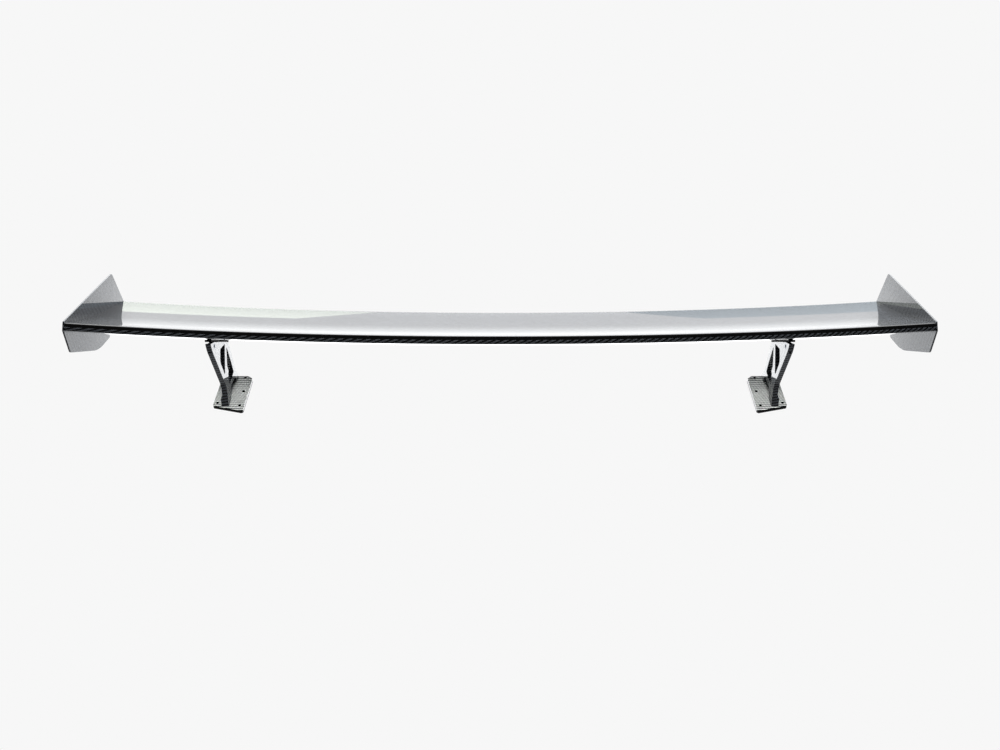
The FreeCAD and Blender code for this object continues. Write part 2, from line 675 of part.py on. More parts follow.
def sleeve_of(name, radius, start, end, point, core_rod):
    outer = rod(name + "_outer", radius, "(%s) - (%s)" % (end, start))
    along_x(outer, start, point)
    return cut(name + "_right", outer, core_rod), outer


PIVOT = ("pivot_y", "pivot_z")
ADJUST = saddle_point("adjust_reach", "0")
OUTER = "plate_x + upright"
HEAD_X = OUTER + " + washer"
SLOT_IN = "plate_x + slot_in"
pivot_bolt_right, pivot_shank = bolt_set(
    "pivot_bolt", HEAD_X + " + bolt_head_height", PIVOT,
    [("pivot_bore", "plate_x", HEAD_X), ("bolt_head", HEAD_X, HEAD_X + " + bolt_head_height")])
pivot_insert_right, pivot_sleeve = sleeve_of("pivot_insert", "pivot_insert_radius", "plate_x",
                                             SLOT_IN, PIVOT, pivot_shank)
pivot_washer_right, spare = sleeve_of("pivot_washer", "washer_radius", OUTER, HEAD_X, PIVOT,
                                      pivot_shank)
adjuster_screw_right, adjust_shank = bolt_set(
    "adjuster_screw", HEAD_X + " + adjust_head_height", ADJUST,
    [("adjust_bore", SLOT_IN + " - adjust_insert_length", HEAD_X),
     ("adjust_head", HEAD_X, HEAD_X + " + adjust_head_height")])
adjuster_insert_right, adjust_sleeve = sleeve_of(
    "adjuster_insert", "adjust_insert_radius", SLOT_IN + " - adjust_insert_length", SLOT_IN, ADJUST,
    adjust_shank)
adjuster_washer_right, spare = sleeve_of("adjuster_washer", "adjust_washer_radius", OUTER, HEAD_X,
                                         ADJUST, adjust_shank)

# --- foot screws, base plate and gasket ----------------------------------------------------------
FOOT_X = "plate_x + foot_width / 2"


def foot_rod(name, radius, at, low, height):
    item = rod(name, radius, height)
    place(item, FOOT_X, deck_point(at, low), "deck_slope")
    return item


foot_screws, foot_inserts, foot_sleeves, base_cuts = [], [], [], []
for name, at in (("rear", "rear_foot_at"), ("front", "front_foot_at")):
    shank = foot_rod(name + "_foot_shank", "foot_screw_bore", at, "gasket",
                     "base + foot_insert_length")
    head = cone(name + "_foot_head", "foot_screw_head", "foot_screw_bore", "foot_head_height")
    place(head, FOOT_X, deck_point(at, "gasket"), "deck_slope")
    blank = fused(name + "_foot_blank", shank, head)
    base_cuts.append(blank)
    socket = hexagon(name + "_foot_socket")
    place(socket, FOOT_X, deck_point(at, "gasket"), "deck_slope")
    foot_screws.append(cut(name + "_foot_screw", blank, socket))
    sleeve = foot_rod(name + "_foot_sleeve", "foot_insert_radius", at, FOOT, "foot_insert_length")
    foot_sleeves.append(sleeve)
    foot_inserts.append(cut(name + "_foot_insert", sleeve, shank))
foot_screws_right = grouped("foot_screws_right", *foot_screws)
foot_inserts_right = grouped("foot_inserts_right", *foot_inserts)
upright_right = cut("upright_right", upright_blank,
                    fused("upright_bores", pivot_sleeve, adjust_sleeve, pivot_shank, adjust_shank,
                          *foot_sleeves))

BASE_EDGE = [("base_inner", "-58.5", "base_corner"), ("base_outer", "-43", "base_corner"),
             ("base_outer", "48", "base_corner"), ("base_inner + 9", "48", "base_corner"),
             ("base_inner", "40", "base_corner")]
DECK_HOLES = [("inner_hole_x", "0"), ("inner_hole_x + inner_hole_skew", "inner_pitch"),
              ("inner_hole_x - 1", "-inner_pitch"), ("outer_hole_x", "outer_reach"),
              ("outer_hole_x", "-outer_reach")]


def foot_plate(label, low, thick):
    """A plate along the deck with the deck bolt holes, from low above the deck."""
    body = new_body(label)
    sketch = new_sketch(body, label + "_outline", "XY_Plane")
    outline(sketch, BASE_EDGE)
    for x, along in DECK_HOLES:
        ring(sketch, x, along, "deck_bolt")
    pad(body, label + "_pad", sketch, thick)
    place(body, "0", deck_point("0", low), "deck_slope")
    return body


base_blank = foot_plate("base_blank", "gasket", "base")
base_plate_right = cut("base_plate_right", base_blank, fused("base_cuts", *base_cuts))
base_gasket_right = foot_plate("base_gasket_right", "0", "gasket")

# --- every sub-part, checked and written ---------------------------------------------------------
right_side = [tip_rib_right, ribs[0], ribs[1], front_hardpoint_right, rear_hardpoint_right,
              end_plate_right, end_plate_screws_right, end_plate_inserts_right,
              saddle_bracket_right, spacers[0], spacers[1], saddle_bolts_right,
              upright_right, pivot_insert_right, pivot_bolt_right, pivot_washer_right,
              adjuster_screw_right, adjuster_washer_right, adjuster_insert_right,
              base_plate_right, base_gasket_right, foot_screws_right, foot_inserts_right]
subparts = [wing_upper_skin, wing_lower_skin, trailing_edge_filler, front_spar, rear_spar]
for item in right_side:
    subparts += [item, mirrored(item, item.Label.replace("_right", "_left"))]
doc.recompute()

for item in doc.Objects:
    if {"Invalid", "Error"} & set(item.State):
        raise RuntimeError("%s failed: %s" % (item.Label, item.State))
os.makedirs("parts", exist_ok=True)
for item in subparts:
    if item.Shape.isNull() or not item.Shape.isValid() or not item.Shape.Solids:
        raise RuntimeError("%s has no valid solid" % item.Label)
    item.Shape.exportStep("parts/%s.step" % item.Label)
    print("%-28s solids %d  volume %9.0f" % (item.Label, len(item.Shape.Solids), item.Shape.Volume))
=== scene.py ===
import json
import math

import bmesh
import bpy
import numpy as np
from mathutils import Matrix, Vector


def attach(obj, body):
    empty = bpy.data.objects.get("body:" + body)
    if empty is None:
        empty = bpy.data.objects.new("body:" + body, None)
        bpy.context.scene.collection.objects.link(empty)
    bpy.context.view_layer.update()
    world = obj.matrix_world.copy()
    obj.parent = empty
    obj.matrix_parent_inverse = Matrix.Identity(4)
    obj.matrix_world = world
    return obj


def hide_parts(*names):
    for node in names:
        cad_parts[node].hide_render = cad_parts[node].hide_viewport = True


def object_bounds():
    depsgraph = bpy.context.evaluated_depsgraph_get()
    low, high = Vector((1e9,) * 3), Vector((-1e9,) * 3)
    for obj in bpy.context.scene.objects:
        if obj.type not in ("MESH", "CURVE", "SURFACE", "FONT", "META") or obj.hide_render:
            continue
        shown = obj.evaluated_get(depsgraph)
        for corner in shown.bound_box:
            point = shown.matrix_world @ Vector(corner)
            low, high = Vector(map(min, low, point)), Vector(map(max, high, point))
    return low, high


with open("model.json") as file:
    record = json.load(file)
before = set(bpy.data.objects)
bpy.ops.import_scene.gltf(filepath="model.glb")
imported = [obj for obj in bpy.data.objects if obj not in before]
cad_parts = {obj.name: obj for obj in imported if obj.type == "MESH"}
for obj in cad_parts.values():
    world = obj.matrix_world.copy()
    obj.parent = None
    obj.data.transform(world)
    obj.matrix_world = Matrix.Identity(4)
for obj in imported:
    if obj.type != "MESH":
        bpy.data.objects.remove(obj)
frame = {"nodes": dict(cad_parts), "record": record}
cadBox = [list(corner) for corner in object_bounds()]
nodes = frame["nodes"]
bodyOf = {node: body for body, members in frame["record"]["behaviour"]["bodies"].items()
          for node in members}
scene = bpy.context.scene
mm = 0.001
print("frame loaded:", len(nodes), "nodes")


def linearColour(hexCode):
    parts = np.array([int(hexCode[i:i + 2], 16) for i in (1, 3, 5)]) / 255
    curve = np.where(parts <= 0.04045, parts / 12.92, ((parts + 0.055) / 1.055) ** 2.4)
    return (*(float(part) for part in curve), 1.0)


# One node with its settings and links; a key is a socket's name or number, or a property.
def addNode(tree, kind, settings=(), links=()):
    node = tree.nodes.new(kind)
    for key, value in dict(settings).items():
        if isinstance(key, int) or key in node.inputs:
            node.inputs[key].default_value = value
        else:
            setattr(node, key, value)
    for key, source in dict(links).items():
        tree.links.new(source, node.inputs[key])
    return node


def newMaterial(name):
    material = bpy.data.materials.new(name)
    material.use_nodes = True
    material.node_tree.nodes.clear()
    return material, material.node_tree


def closeMaterial(tree, shader):
    addNode(tree, "ShaderNodeOutputMaterial", links={"Surface": shader.outputs[0]})


# Carbon fibre in 2x2 twill under clear lacquer. Each tow of about 3000 fibres is 2 mm wide and
# passes over two tows and under two. Fibres are dark and shine along their side like brushed
# metal, so warp and weft catch the light at different angles. Warp and weft are the same fibre, but
# the warp is given a paler colour as a painted highlight and the weft a darker one as painted shade.
# The lacquer is a smooth, clear film.
twillValues = {
    "tow": 2.06,          # mm
    "repeat": 4,          # tows after which the weave starts again
    "floated": 1.5,       # the warp lies on top at the first two of them
    # painted light: the paler warp colour is a painted highlight, the darker weft colour is painted shade
    "warpPaintedLit": "#666a70",
    "weftPaintedDark": "#0f1011",
    "gap": "#050505",     # resin between tows; also the dark colour of the painted shade on the tail and of sealed edges
    "edge": "#8c8c8c",    # tows stay dark at a flat angle
    "darkest": 0.85, "palest": 1.1,     # each tow's own shade
    "sunken": 0.6,        # colour at a tow's sides, against 1 on its crown: partly the resin at its edges, partly painted shade in the hollows between tows
    "roughness": 0.36,
    "metallic": 0.85,
    "shine": 0.5,
    "stretch": 0.75,      # how far the shine spreads across the fibres
    "relief": 0.06,       # mm, height of a tow over the gaps
    "bumpStrength": 0.6,
    "lacquerRoughness": 0.025,
    "lacquerIor": 1.56,
    "sealedEdges": False,
    "sealedBelow": 0.8,   # a face counts as an edge if its normal rises less than this
}
# On the deck plates the tows across the car are given a near-white colour, a painted highlight
# that makes their rows show as bright ribs. Their sawn edges are sealed with dark resin.
deckTwillValues = twillValues | {
    # painted highlight: near-white tows across the car
    "warpPaintedLit": "#fcfffb",
    "weftPaintedDark": "#1c1f22",
    "edge": "#f0f0f0",
    "roughness": 0.5,
    "metallic": 0.35,
    "sealedEdges": True,
}


def twillMaterial(name, values):
    material, tree = newMaterial(name)
    cloth = addNode(tree, "ShaderNodeUVMap", {"uv_map": "cloth"})
    tows = addNode(tree, "ShaderNodeVectorMath", {"operation": "SCALE", "Scale": 1 / values["tow"]},
                   {0: cloth.outputs[0]})
    cell = addNode(tree, "ShaderNodeVectorMath", {"operation": "FLOOR"}, {0: tows.outputs[0]})
    number = addNode(tree, "ShaderNodeSeparateXYZ", {}, {0: cell.outputs[0]})
    shift = addNode(tree, "ShaderNodeMath", {"operation": "SUBTRACT"},
                    {0: number.outputs[0], 1: number.outputs[1]})
    step = addNode(tree, "ShaderNodeMath", {"operation": "FLOORED_MODULO", 1: values["repeat"]},
                   {0: shift.outputs[0]})
    warpUp = addNode(tree, "ShaderNodeMath", {"operation": "LESS_THAN", 1: values["floated"]},
                     {0: step.outputs[0]}).outputs[0]
    # a tow is round across its width: height = 1 - (2 * part - 1) squared, part from 0 to 1
    part = addNode(tree, "ShaderNodeVectorMath", {"operation": "FRACTION"}, {0: tows.outputs[0]})
    centred = addNode(tree, "ShaderNodeVectorMath",
                      {"operation": "MULTIPLY_ADD", 1: (2, 2, 2), 2: (-1, -1, -1)},
                      {0: part.outputs[0]}).outputs[0]
    squared = addNode(tree, "ShaderNodeVectorMath", {"operation": "MULTIPLY"}, {0: centred, 1: centred})
    crown = addNode(tree, "ShaderNodeVectorMath", {"operation": "SUBTRACT", 0: (1, 1, 1)},
                    {1: squared.outputs[0]})
    crowns = addNode(tree, "ShaderNodeSeparateXYZ", {}, {0: crown.outputs[0]})
    height = addNode(tree, "ShaderNodeMix", {"data_type": "FLOAT"},
                     {0: warpUp, 2: crowns.outputs[1], 3: crowns.outputs[0]}).outputs[0]
    # every tow has its own slight shade
    noise = addNode(tree, "ShaderNodeTexWhiteNoise", {"noise_dimensions": "2D"}, {"Vector": cell.outputs[0]})
    shade = addNode(tree, "ShaderNodeMapRange", {"To Min": values["darkest"], "To Max": values["palest"]},
                    {"Value": noise.outputs["Value"]})
    # partly painted shade: each tow's colour darkens toward its sides, into the hollows between tows,
    # besides the resin there
    relief = addNode(tree, "ShaderNodeMapRange", {"To Min": values["sunken"]}, {"Value": height})
    toneAndHollowShade = addNode(tree, "ShaderNodeMath", {"operation": "MULTIPLY"},
                   {0: shade.outputs[0], 1: relief.outputs[0]})
    # painted highlight and shade: the warp takes the paler colour, the weft the darker one
    tone = addNode(tree, "ShaderNodeMix", {"data_type": "RGBA", 6: linearColour(values["weftPaintedDark"]),
                                           7: linearColour(values["warpPaintedLit"])}, {0: warpUp})
    # painted shade: where the mesh's attribute marks it, the tows are hidden under the dark gap colour, with
    # less metal and shine; it darkens the upper half of the wing's tail face
    paintedShadeAndSeal = addNode(tree, "ShaderNodeAttribute", {"attribute_name": "paintedShade"}).outputs["Fac"]
    if values["sealedEdges"]:
        surface = addNode(tree, "ShaderNodeNewGeometry")
        facing = addNode(tree, "ShaderNodeSeparateXYZ", {}, {0: surface.outputs["Normal"]})
        rise = addNode(tree, "ShaderNodeMath", {"operation": "ABSOLUTE"}, {0: facing.outputs[2]})
        side = addNode(tree, "ShaderNodeMath", {"operation": "LESS_THAN", 1: values["sealedBelow"]},
                       {0: rise.outputs[0]})
        paintedShadeAndSeal = addNode(tree, "ShaderNodeMath", {"operation": "MAXIMUM"},
                          {0: paintedShadeAndSeal, 1: side.outputs[0]}).outputs[0]
    clear = addNode(tree, "ShaderNodeMath", {"operation": "SUBTRACT", 0: 1.0}, {1: paintedShadeAndSeal}).outputs[0]
    seen = addNode(tree, "ShaderNodeMath", {"operation": "MULTIPLY"}, {0: toneAndHollowShade.outputs[0], 1: clear})
    colour = addNode(tree, "ShaderNodeMix", {"data_type": "RGBA", 6: linearColour(values["gap"])},
                     {0: seen.outputs[0], 7: tone.outputs[2]})
    metallic = addNode(tree, "ShaderNodeMath", {"operation": "MULTIPLY", 1: values["metallic"]}, {0: clear})
    shine = addNode(tree, "ShaderNodeMath", {"operation": "MULTIPLY", 1: values["shine"]}, {0: clear})
    bump = addNode(tree, "ShaderNodeBump",
                   {"Strength": values["bumpStrength"], "Distance": values["relief"] * mm},
                   {"Height": height})
    # warp and weft shine a quarter turn apart
    tangent = addNode(tree, "ShaderNodeTangent", {"direction_type": "UV_MAP", "uv_map": "cloth"})
    turn = addNode(tree, "ShaderNodeMath", {"operation": "MULTIPLY", 1: 1 / 4}, {0: warpUp})
    shader = addNode(tree, "ShaderNodeBsdfPrincipled", {
        "Roughness": values["roughness"], "Anisotropic": values["stretch"],
        "Coat Weight": 1.0, "Coat Roughness": values["lacquerRoughness"], "Coat IOR": values["lacquerIor"],
        "Specular Tint": linearColour(values["edge"]),
    }, {"Base Color": colour.outputs[2], "Normal": bump.outputs[0], "Tangent": tangent.outputs[0],
        "Anisotropic Rotation": turn.outputs[0], "Metallic": metallic.outputs[0],
        "Specular IOR Level": shine.outputs[0]})
    closeMaterial(tree, shader)
    return material


# A plain metal, rubber or paste: two close shades and a roughness that change a little from place
# to place with one noise, which is also a fine grain in the surface. Grain and relief are in mm.
def plainMaterial(name, colour, second, metallic, roughness, spread, grain, relief, shine=0.5):
    material, tree = newMaterial(name)
    place = addNode(tree, "ShaderNodeTexCoord")
    noise = addNode(tree, "ShaderNodeTexNoise", {"Scale": 1 / (grain * mm), "Detail": grainValues["detail"]},
                    {"Vector": place.outputs["Object"]})
    tone = addNode(tree, "ShaderNodeMix", {"data_type": "RGBA", 6: linearColour(colour),
                                           7: linearColour(second)}, {0: noise.outputs[0]})
    rough = addNode(tree, "ShaderNodeMapRange", {"To Min": roughness - spread, "To Max": roughness + spread},
                    {"Value": noise.outputs[0]})
    bump = addNode(tree, "ShaderNodeBump", {"Strength": grainValues["strength"], "Distance": relief * mm},
                   {"Height": noise.outputs[0]})
    shader = addNode(tree, "ShaderNodeBsdfPrincipled", {
        "Metallic": metallic, "Specular Tint": linearColour(second), "Specular IOR Level": shine,
    }, {"Base Color": tone.outputs[2], "Roughness": rough.outputs[0], "Normal": bump.outputs[0]})
    closeMaterial(tree, shader)
    return material


grainValues = {"detail": 4.0, "strength": 0.4}
carbonTwill = twillMaterial("carbon_twill_lacquered", twillValues)
deckTwill = twillMaterial("carbon_twill_deck", deckTwillValues)
materials = {
    # alloy steel bolts, blackened in hot oxide and oiled: dark, half gloss
    "boltSteel": plainMaterial("steel_black_oxide", "#1d1d20", "#2a2a2d", 1.0, 0.32, 0.06, 1.2, 0.004),
    # steel washers with black zinc plating: a little greyer and rougher
    "washerSteel": plainMaterial("steel_black_zinc", "#2b2b2d", "#3a3a3c", 1.0, 0.4, 0.08, 0.9, 0.004),
    # turned aluminium, bead blasted and anodised black: satin
    "anodised": plainMaterial("aluminium_black_anodised", "#1b1b1e", "#26262a", 0.8, 0.42, 0.05, 0.5, 0.003),
    # turned aluminium as it left the lathe: bright grey
    "plainAluminium": plainMaterial("aluminium_turned", "#b6b8bb", "#9b9da1", 1.0, 0.3, 0.08, 0.6, 0.003),
    # carbon laminate as it leaves the mould: matt, dark grey
    "bareCarbon": plainMaterial("carbon_laminate_bare", "#1a1b1d", "#2c2d30", 0.2, 0.55, 0.1, 2.0, 0.02),
    # epoxy paste with short fibres between the skins: grey, dull
    "paste": plainMaterial("epoxy_bonding_paste", "#4a4b4c", "#5f605f", 0.0, 0.7, 0.08, 1.5, 0.05),
    # milled aluminium bar, blasted and anodised matt black: even, very dark, a fine grain
    "mattAnodised": plainMaterial("aluminium_matt_anodised", "#0b0b0c", "#111112", 0.0, 0.9, 0.05, 0.8, 0.01,
                                  shine=0.1),
    # die-cut rubber sheet: matt black with a fine grain
    "rubber": plainMaterial("rubber_sheet", "#161616", "#202021", 0.0, 0.8, 0.08, 0.7, 0.02),
}
materialOf = {
    "wing": carbonTwill, "end_plate": carbonTwill, "saddle_bracket": materials["mattAnodised"],
    "upright": carbonTwill, "base_plate": deckTwill,
    "trailing_edge_filler": materials["paste"],
    "front_spar": materials["bareCarbon"], "rear_spar": materials["bareCarbon"],
    "tip_rib": materials["bareCarbon"], "mount_rib": materials["bareCarbon"],
    "front_hardpoint": materials["plainAluminium"], "rear_hardpoint": materials["plainAluminium"],
    "end_plate_screws": materials["boltSteel"], "end_plate_inserts": materials["plainAluminium"],
    "saddle_rear_spacer": materials["anodised"], "saddle_front_spacer": materials["anodised"],
    "saddle_bolts": materials["boltSteel"], "pivot_bolt": materials["boltSteel"],
    "pivot_insert": materials["plainAluminium"], "pivot_washer": materials["washerSteel"],
    "adjuster_screw": materials["boltSteel"], "adjuster_washer": materials["washerSteel"],
    "adjuster_insert": materials["plainAluminium"], "base_gasket": materials["rubber"],
    "foot_screws": materials["boltSteel"], "foot_inserts": materials["plainAluminium"],
}


# A node has the finish of the longest key that its name starts with.
def finishOf(node):
    return materialOf[max((key for key in materialOf if node.startswith(key)), key=len)]


# Lays the cloth on a mesh: every face takes the two axes that it faces least, in mm, and the
# pair is turned by the cloth's angle.
def layCloth(mesh, turn):
    points, normals = np.empty(len(mesh.vertices) * 3), np.empty(len(mesh.polygons) * 3)
    corners, counts = np.empty(len(mesh.loops), int), np.empty(len(mesh.polygons), int)
    mesh.vertices.foreach_get("co", points)
    mesh.polygons.foreach_get("normal", normals)
    mesh.loops.foreach_get("vertex_index", corners)
    mesh.polygons.foreach_get("loop_total", counts)
    facing = np.abs(normals.reshape(-1, 3)).argmax(1).repeat(counts)
    place = points.reshape(-1, 3)[corners] / mm
    flat = np.stack([np.choose(facing, [place[:, 1], place[:, 0], place[:, 0]]),
                     np.choose(facing, [place[:, 2], place[:, 2], place[:, 1]])], 1)
    writeCloth(mesh, flat, turn)


def writeCloth(mesh, flat, turn):
    cosine, sine = math.cos(math.radians(turn)), math.sin(math.radians(turn))
    layer = mesh.uv_layers.new(name="cloth")
    layer.data.foreach_set("uv", (flat @ np.array([[cosine, sine], [-sine, cosine]])).ravel())


def addPiece(name, mesh, body, replaced):
    piece = bpy.data.objects.new(name, mesh)
    scene.collection.objects.link(piece)
    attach(piece, body)
    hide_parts(*replaced)
    return piece


refineValues = {
    "merge": 0.002,       # mm
    "flatAngle": 0.4,     # degrees, up to which neighbouring faces are one flat
    "edgeAngle": 32,      # degrees, from which an edge is rounded
    "segments": 3,
}


# Same shape as the CAD node, with every sharp edge rounded a little.
def refinedPiece(node, name, rounding, turn=0.0):
    mesh = nodes[node].data.copy()
    mesh.name = name
    shape = bmesh.new()
    shape.from_mesh(mesh)
    bmesh.ops.remove_doubles(shape, verts=shape.verts, dist=refineValues["merge"] * mm)
    bmesh.ops.dissolve_limit(shape, angle_limit=math.radians(refineValues["flatAngle"]),
                             verts=shape.verts, edges=shape.edges)
    bmesh.ops.recalc_face_normals(shape, faces=shape.faces)
    shape.to_mesh(mesh)
    shape.free()
    mesh.materials.clear()
    mesh.materials.append(finishOf(node))
    for layer in list(mesh.uv_layers):
        mesh.uv_layers.remove(layer)
    layCloth(mesh, turn)
    mesh.polygons.foreach_set("use_smooth", np.ones(len(mesh.polygons), bool))
    piece = addPiece(name, mesh, bodyOf[node], [node])
    bevel = piece.modifiers.new("roundedEdges", "BEVEL")
    bevel.width = rounding * mm
    bevel.segments = refineValues["segments"]
    bevel.limit_method = "ANGLE"
    bevel.angle_limit = math.radians(refineValues["edgeAngle"])
    bevel.use_clamp_overlap = True
    piece.modifiers.new("flatFaces", "WEIGHTED_NORMAL").keep_sharp = False
    return piece


# Aerofoil: two lacquered skins bowed in plan, joined at the middle of the blunt tail and at the nose.
wingValues = {
    "halfSkin": 797, "chord": 298.5, "depth": 30, "attackAngle": 9.9,
    "bowRadius": 4470, "tailY": -158, "tailZ": 178.5,
    "tailHeight": 14.1, "tailLean": 2.4, "tailRadius": 3,
    "strip": 29, "stripDrop": 1.9,          # flat strip along the tail, before the hollow
    "dishRadius": 1577, "noseRadius": 14.5, "flatStart": 110,
    "skin": 2,
    "tailTwill": -24, "topTwill": 24,       # degrees from the span, of the twill's lines
    "paintedShadeTop": (1, 4),     # mm past the tail's upper corner, over which the painted shade thins out
    "paintedShadeLow": (-1, 1.5),  # mm under the middle of the tail's face, the same
    "joinGap": 0.5,         # mm between the last point of a corner and the next one
    # points along the span and along each stretch of the section
    "columns": 260, "facePoints": 5, "cornerPoints": 9, "stripPoints": 6, "hollowPoints": 64,
    "nosePoints": 20, "rearPoints": 30, "flatPoints": 40,
}


def arcPoints(centre, radius, start, end, count):
    angles = np.radians(np.linspace(start, end, count))
    return np.stack([centre[0] + radius * np.cos(angles), centre[1] + radius * np.sin(angles)], 1)


def degreesOf(centre, point):
    return math.degrees(math.atan2(point[1] - centre[1], point[0] - centre[0]))


# Arc that rounds the corner between two straight or nearly straight sides.
def cornerArc(before, corner, after, radius, count):
    before, corner, after = (np.array(point, float) for point in (before, corner, after))
    first = (before - corner) / np.linalg.norm(before - corner)
    second = (after - corner) / np.linalg.norm(after - corner)
    half = math.acos(float(first @ second)) / 2
    middle = (first + second) / np.linalg.norm(first + second)
    centre = corner + middle * radius / math.sin(half)
    ends = [degreesOf(centre, corner + side * radius / math.tan(half)) for side in (first, second)]
    sweep = (ends[1] - ends[0] + 180) % 360 - 180
    return arcPoints(centre, radius, ends[0], ends[0] + sweep, count)


# The section as two paths (u forward, v up): the upper one from the middle of the tail over the
# strip and the hollow to the nose, the lower one from the middle of the tail under the wing.
def wingPaths(values):
    nose = np.array([values["chord"] - values["noseRadius"], values["noseRadius"] - values["depth"]])
    stripEnd = np.array([values["strip"], -values["stripDrop"]], float)
    lowTail = np.array([-values["tailLean"], -values["tailHeight"]])
    middle = lowTail / 2
    # the hollow's centre is one dish radius from the strip's end and dish + nose radius from the nose's
    gap = nose - stripEnd
    length = np.linalg.norm(gap)
    dish, tip = values["dishRadius"], values["noseRadius"]
    near = (dish ** 2 - (dish + tip) ** 2 + length ** 2) / (2 * length)
    high = math.sqrt(dish ** 2 - near ** 2)
    centre = stripEnd + near * gap / length + high * np.array([-gap[1], gap[0]]) / length
    touch = nose + (centre - nose) * tip / (dish + tip)
    hollow = arcPoints(centre, dish, degreesOf(centre, stripEnd), degreesOf(centre, touch),
                       values["hollowPoints"])
    noseTop = arcPoints(nose, tip, degreesOf(nose, touch), 0, values["nosePoints"])
    topCorner = cornerArc(middle, (0, 0), stripEnd, values["tailRadius"], values["cornerPoints"])
    upper = np.concatenate([np.linspace(middle, topCorner[0], values["facePoints"])[:-1], topCorner,
                            np.linspace(topCorner[-1], stripEnd, values["stripPoints"])[1:],
                            hollow[1:], noseTop[1:]])
    # the underside's rear arc meets its flat part without a corner
    run, rise = values["flatStart"] + values["tailLean"], values["depth"] - values["tailHeight"]
    curve = (run ** 2 + rise ** 2) / (2 * rise)
    under = np.array([values["flatStart"], curve - values["depth"]])
    rear = arcPoints(under, curve, degreesOf(under, lowTail), -90, values["rearPoints"])
    lowCorner = cornerArc(middle, lowTail, rear[1], values["tailRadius"], values["cornerPoints"])
    rear = rear[rear[:, 0] > lowCorner[-1, 0] + values["joinGap"]]
    flat = np.linspace(rear[-1], (nose[0], -values["depth"]), values["flatPoints"])
    noseLow = arcPoints(nose, tip, -90, 0, values["nosePoints"])
    lower = np.concatenate([np.linspace(middle, lowCorner[0], values["facePoints"])[:-1], lowCorner,
                            rear, flat[1:], noseLow[1:]])
    return upper, lower


# Surface over (place along the span, place along the path): the section, tilted by the attack
# angle, is turned about the bow's upright axis and cut by two planes across the span.
def wingSurface(name, path, upperSide, values, replaced):
    tilt = math.radians(values["attackAngle"])
    forward = path[:, 0] * math.cos(tilt) + path[:, 1] * math.sin(tilt)
    height = values["tailZ"] - path[:, 0] * math.sin(tilt) + path[:, 1] * math.cos(tilt)
    radius = (values["bowRadius"] - forward)[None, :]
    across = np.linspace(-values["halfSkin"], values["halfSkin"], values["columns"])[:, None]
    axisY = values["tailY"] + values["bowRadius"]
    points = np.stack(np.broadcast_arrays(across, axisY - np.sqrt(radius ** 2 - across ** 2),
                                          height[None, :]), 2)
    rows, columns = points.shape[:2]
    index = np.arange(rows * columns).reshape(rows, columns)
    quads = np.stack([index[:-1, :-1], index[:-1, 1:], index[1:, 1:], index[1:, :-1]], 2)
    if upperSide:
        quads = quads[:, :, ::-1]
    mesh = bpy.data.meshes.new(name)
    mesh.from_pydata((points.reshape(-1, 3) * mm).tolist(), [], quads.reshape(-1, 4).tolist())
    # cloth: length along the path is laid out flat round the bow's axis, from the cloth's own edge
    length = np.concatenate([[0], np.cumsum(np.linalg.norm(np.diff(path, axis=0), axis=1))])
    bow = np.arcsin(across / radius)
    tail = values["tailHeight"] / 2
    turns = []
    for reach, angle in ((-tail - length if upperSide else length - tail, values["tailTwill"]),
                         (length - tail, values["topTwill"])):
        flatRadius = values["bowRadius"] - reach[None, :]
        turn = math.radians(45 - angle)     # the twill's lines lie halfway between warp and weft
        x, y = flatRadius * np.sin(bow), -flatRadius * np.cos(bow)
        turns.append(np.stack([x * math.cos(turn) - y * math.sin(turn),
                               x * math.sin(turn) + y * math.cos(turn)], 2).reshape(-1, 2))
    # the cloth of the tail ends at the middle of the upper corner
    cornerPlace = values["facePoints"] - 1 + values["cornerPoints"] // 2
    pastCorner = np.arange(columns - 1) >= cornerPlace
    onTop = np.broadcast_to(pastCorner, (rows - 1, columns - 1)).ravel() & upperSide
    corners = quads.reshape(-1, 4)
    flat = np.where(onTop[:, None, None], turns[1][corners], turns[0][corners]).reshape(-1, 2)
    writeCloth(mesh, flat, 0)
    mesh.polygons.foreach_set("use_smooth", np.ones(len(mesh.polygons), bool))
    # painted shade darkens the upper half of the tail face and its corner, and fades out just under the
    # face's middle on the underside
    fade = np.array(values["paintedShadeTop"]) + tail if upperSide else values["paintedShadeLow"]
    paintedShadeAmount = np.interp(length, fade, [1, 0])
    # the laminate's cut edges stay sharp
    ends = np.empty(len(mesh.edges) * 2, int)
    mesh.edges.foreach_get("vertices", ends)
    row, column = np.divmod(ends.reshape(-1, 2), columns)
    sharp = ((row == 0) | (row == rows - 1)).all(1) | ((column == 0) | (column == columns - 1)).all(1)
    mesh.attributes.new("sharp_edge", "BOOLEAN", "EDGE").data.foreach_set("value", sharp)
    layer = mesh.attributes.new("paintedShade", "FLOAT", "POINT")
    layer.data.foreach_set("value", np.broadcast_to(paintedShadeAmount, (rows, columns)).ravel())
    mesh.materials.append(carbonTwill)
    piece = addPiece(name, mesh, "aerofoil", replaced)
    thick = piece.modifiers.new("laminate", "SOLIDIFY")
    thick.thickness = values["skin"] * mm
    thick.offset = -1
    thick.use_even_offset = True


upperPath, lowerPath = wingPaths(wingValues)
wingSurface("aerofoil_top", upperPath, True, wingValues, ["wing_upper_skin"])
wingSurface("aerofoil_underside", lowerPath, False, wingValues, ["wing_lower_skin"])
print("aerofoil skins made")


